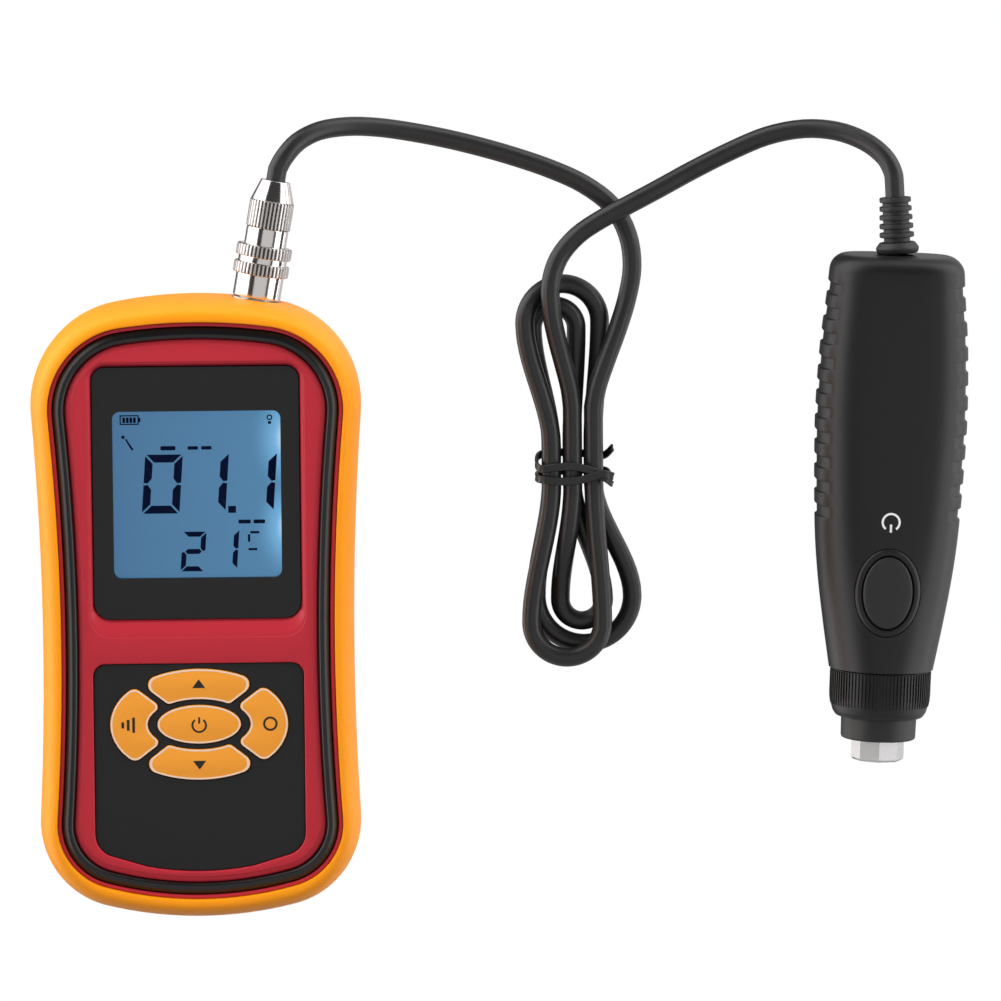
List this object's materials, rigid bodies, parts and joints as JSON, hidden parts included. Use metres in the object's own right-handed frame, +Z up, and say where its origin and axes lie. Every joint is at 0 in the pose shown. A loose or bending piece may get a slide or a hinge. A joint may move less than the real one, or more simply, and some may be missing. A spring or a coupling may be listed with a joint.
{
  "type": "handheld vibration meter",
  "caption": "Handheld vibration meter with a lit display, five keys and a rubber boot, joined by a tied coiled cord to a ribbed pickup probe with a magnetic tip.",
  "frame": {"origin": "middle of the meter's flat rubber back, on the floor", "axes": "+Z up out of the meter's face, +Y along the meter toward its connector end, +X across the meter toward the probe"},
  "size_m": [0.2434, 0.2065, 0.036],
  "materials": {
    "orange_rubber": "satin",
    "red_plastic": "fine moulded grain",
    "black_gloss": "gloss",
    "black_plastic": "satin",
    "window_plastic": "clear, black printed edge",
    "display_glass": "lit blue",
    "white_plastic": "satin",
    "orange_key": "satin",
    "steel": "brushed",
    "chrome": "polished",
    "nickel": "satin nickel",
    "gold_contact": "plated",
    "circuit_board": "solder mask",
    "cell_jacket": "printed sleeve",
    "cord_rubber": "satin",
    "grip_plastic": "satin",
    "black_rubber": "matt",
    "ceramic": "matt",
    "insulator": "satin"
  },
  "bodies": {
    "instrument": {"boot": "orange_rubber", "front_case": "red_plastic", "face_band": "black_gloss", "rear_case": "red_plastic", "display_window": "window_plastic", "lcd_glass": "display_glass", "lcd_backlight": "white_plastic", "lcd_holder": "white_plastic", "zebra_strip": "black_rubber", "keypad_panel": "black_plastic", "key_domes": "steel", "main_board": "circuit_board", "board_parts": "black_plastic", "battery_cells": "cell_jacket", "battery_springs": "steel", "battery_contacts": "nickel", "case_screws": "steel", "board_screws": "steel", "jack_body": "nickel", "jack_nut": "nickel", "jack_insulator": "insulator", "plug_body": "chrome", "plug_clamp_nut": "chrome", "plug_pin": "gold_contact", "cord_meter_run": "cord_rubber", "cord_hank": "cord_rubber", "cord_tie": "black_plastic", "cord_probe_run": "cord_rubber", "strain_relief": "black_rubber", "probe_upper_shell": "grip_plastic", "probe_lower_shell": "grip_plastic", "probe_screws": "steel", "button_bezel": "black_plastic", "probe_switch": "steel", "probe_board": "circuit_board", "nose_tube": "black_plastic", "nose_bush": "black_rubber", "sensor_base": "steel", "piezo_stack": "ceramic", "seismic_mass": "gold_contact", "steel_tip": "steel"},
    "key_top": {"key_top": "orange_key"},
    "key_left": {"key_left": "orange_key"},
    "key_centre": {"key_centre": "orange_key"},
    "key_right": {"key_right": "orange_key"},
    "key_bottom": {"key_bottom": "orange_key"},
    "probe_button": {"probe_button": "black_rubber"},
    "battery_door": {"battery_door": "red_plastic", "door_screw": "steel"},
    "coupling_ring": {"plug_coupling_ring": "chrome"},
    "collar": {"probe_collar": "grip_plastic"}
  },
  "joints": [
    {"name": "key_top_press", "type": "slide", "parent": "instrument", "child": "key_top", "axis": [0, 0, -1], "range_m": [0, 0.0005], "stiffness_N_per_m": 1000, "springref_m": -0.0002},
    {"name": "key_left_press", "type": "slide", "parent": "instrument", "child": "key_left", "axis": [0, 0, -1], "range_m": [0, 0.0005], "stiffness_N_per_m": 1000, "springref_m": -0.0002},
    {"name": "key_centre_press", "type": "slide", "parent": "instrument", "child": "key_centre", "axis": [0, 0, -1], "range_m": [0, 0.0005], "stiffness_N_per_m": 1000, "springref_m": -0.0002},
    {"name": "key_right_press", "type": "slide", "parent": "instrument", "child": "key_right", "axis": [0, 0, -1], "range_m": [0, 0.0005], "stiffness_N_per_m": 1000, "springref_m": -0.0002},
    {"name": "key_bottom_press", "type": "slide", "parent": "instrument", "child": "key_bottom", "axis": [0, 0, -1], "range_m": [0, 0.0005], "stiffness_N_per_m": 1000, "springref_m": -0.0002},
    {"name": "probe_button_press", "type": "slide", "parent": "instrument", "child": "probe_button", "axis": [0, 0, -1], "range_m": [0, 0.0008], "stiffness_N_per_m": 900, "springref_m": -0.0003},
    {"name": "battery_door_lift", "type": "slide", "parent": "instrument", "child": "battery_door", "axis": [0, 0, -1], "range_m": [0, 0.02]},
    {"name": "coupling_ring_turn", "type": "hinge", "parent": "instrument", "child": "coupling_ring", "pos_m": [0.0159, 0.07967, 0.019], "axis": [0.1736, 0.9848, 0], "range_deg": [0, 90]},
    {"name": "collar_turn", "type": "hinge", "parent": "instrument", "child": "collar", "pos_m": [0.1768, -0.0433, 0.0156], "axis": [0.0436, 0.999, 0], "continuous": true}
  ]
}
